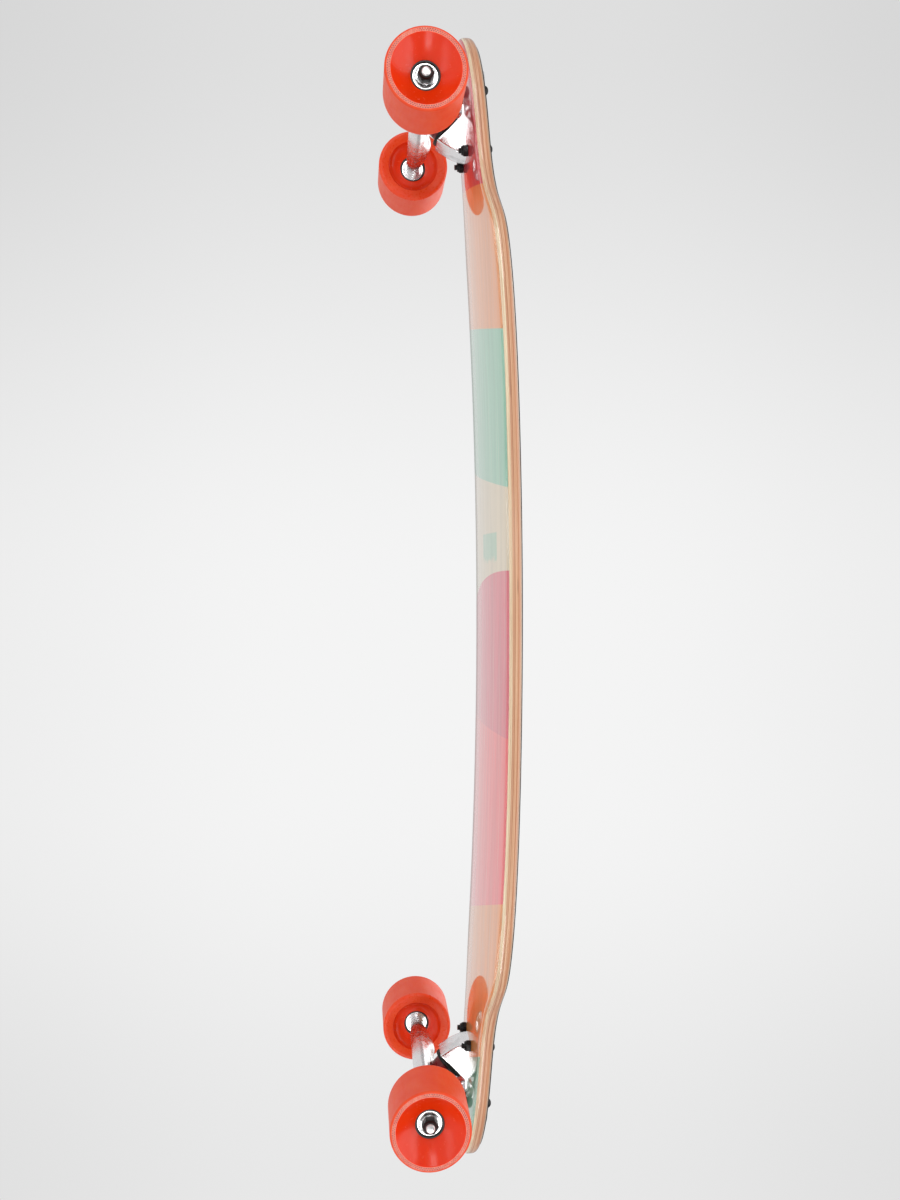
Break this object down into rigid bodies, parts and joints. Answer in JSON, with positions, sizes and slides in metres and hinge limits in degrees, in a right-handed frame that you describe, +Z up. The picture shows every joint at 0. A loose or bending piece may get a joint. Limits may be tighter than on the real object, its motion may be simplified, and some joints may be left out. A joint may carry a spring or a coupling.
{
  "type": "longboard skateboard",
  "caption": "Drop-through longboard: arched laminated deck with cut-away necks, two bushing-sprung steering trucks and four dished urethane wheels.",
  "frame": {"origin": "on the ground under the middle of the deck", "axes": "+X to the nose, +Y to the left rail, +Z up from the ground to the riding surface"},
  "size_m": [1.06, 0.2606, 0.117],
  "materials": {
    "pale_veneer": "clear-coated pale veneer, printed colour fields below",
    "bamboo": "clear-coated edge grain",
    "maple_core": "clear-coated edge grain",
    "grip_tape": "coarse charcoal grit",
    "cast_alloy": "polished casting",
    "black_steel": "black oxide, semi-gloss",
    "steel": "zinc-plated",
    "bearing_steel": "ground and polished",
    "black_urethane": "moulded urethane",
    "bushing_urethane": "dark red translucent urethane",
    "wheel_urethane": "orange-red urethane, moulded dish and ground tread",
    "black_plastic": "moulded hub"
  },
  "bodies": {
    "deck": {"deck_bottom_veneer": "pale_veneer", "deck_lower_ply": "bamboo", "deck_core": "maple_core", "deck_upper_ply": "bamboo", "deck_top_veneer": "pale_veneer", "grip_tape": "grip_tape", "front_baseplate": "cast_alloy", "front_pivot_cup": "black_urethane", "front_kingpin": "black_steel", "front_kingpin_nut": "black_steel", "front_boardside_washer": "black_steel", "front_roadside_washer": "black_steel", "front_boardside_bushing": "bushing_urethane", "front_roadside_bushing": "bushing_urethane", "front_truck_bolts": "black_steel", "front_lock_nuts": "black_steel", "rear_baseplate": "cast_alloy", "rear_pivot_cup": "black_urethane", "rear_kingpin": "black_steel", "rear_kingpin_nut": "black_steel", "rear_boardside_washer": "black_steel", "rear_roadside_washer": "black_steel", "rear_boardside_bushing": "bushing_urethane", "rear_roadside_bushing": "bushing_urethane", "rear_truck_bolts": "black_steel", "rear_lock_nuts": "black_steel"},
    "front_hanger_body": {"front_hanger": "cast_alloy", "front_axle": "steel", "front_axle_nuts": "black_steel", "front_speed_washers": "steel", "front_bearing_inner_rings": "bearing_steel", "front_bearing_spacers": "steel"},
    "front_left_wheel": {"front_left_tyre": "wheel_urethane", "front_left_core": "black_plastic", "front_left_bearing_outer_rings": "bearing_steel", "front_left_bearing_shields": "bearing_steel"},
    "front_right_wheel": {"front_right_tyre": "wheel_urethane", "front_right_core": "black_plastic", "front_right_bearing_outer_rings": "bearing_steel", "front_right_bearing_shields": "bearing_steel"},
    "rear_hanger_body": {"rear_hanger": "cast_alloy", "rear_axle": "steel", "rear_axle_nuts": "black_steel", "rear_speed_washers": "steel", "rear_bearing_inner_rings": "bearing_steel", "rear_bearing_spacers": "steel"},
    "rear_left_wheel": {"rear_left_tyre": "wheel_urethane", "rear_left_core": "black_plastic", "rear_left_bearing_outer_rings": "bearing_steel", "rear_left_bearing_shields": "bearing_steel"},
    "rear_right_wheel": {"rear_right_tyre": "wheel_urethane", "rear_right_core": "black_plastic", "rear_right_bearing_outer_rings": "bearing_steel", "rear_right_bearing_shields": "bearing_steel"}
  },
  "joints": [
    {"name": "front_steer", "type": "hinge", "parent": "deck", "child": "front_hanger_body", "pos_m": [0.444, 0, 0.035], "axis": [0.7071, 0, 0.7071], "range_deg": [-15, 15], "stiffness_Nm_per_rad": 45, "deforming": ["front_boardside_bushing", "front_roadside_bushing"]},
    {"name": "front_left_spin", "type": "hinge", "parent": "front_hanger_body", "child": "front_left_wheel", "pos_m": [0.444, 0.1032, 0.035], "axis": [0, 1, 0], "continuous": true},
    {"name": "front_right_spin", "type": "hinge", "parent": "front_hanger_body", "child": "front_right_wheel", "pos_m": [0.444, -0.1032, 0.035], "axis": [0, 1, 0], "continuous": true},
    {"name": "rear_steer", "type": "hinge", "parent": "deck", "child": "rear_hanger_body", "pos_m": [-0.444, 0, 0.035], "axis": [-0.7071, 0, 0.7071], "range_deg": [-15, 15], "stiffness_Nm_per_rad": 45, "deforming": ["rear_boardside_bushing", "rear_roadside_bushing"]},
    {"name": "rear_left_spin", "type": "hinge", "parent": "rear_hanger_body", "child": "rear_left_wheel", "pos_m": [-0.444, 0.1032, 0.035], "axis": [0, 1, 0], "continuous": true},
    {"name": "rear_right_spin", "type": "hinge", "parent": "rear_hanger_body", "child": "rear_right_wheel", "pos_m": [-0.444, -0.1032, 0.035], "axis": [0, 1, 0], "continuous": true}
  ]
}
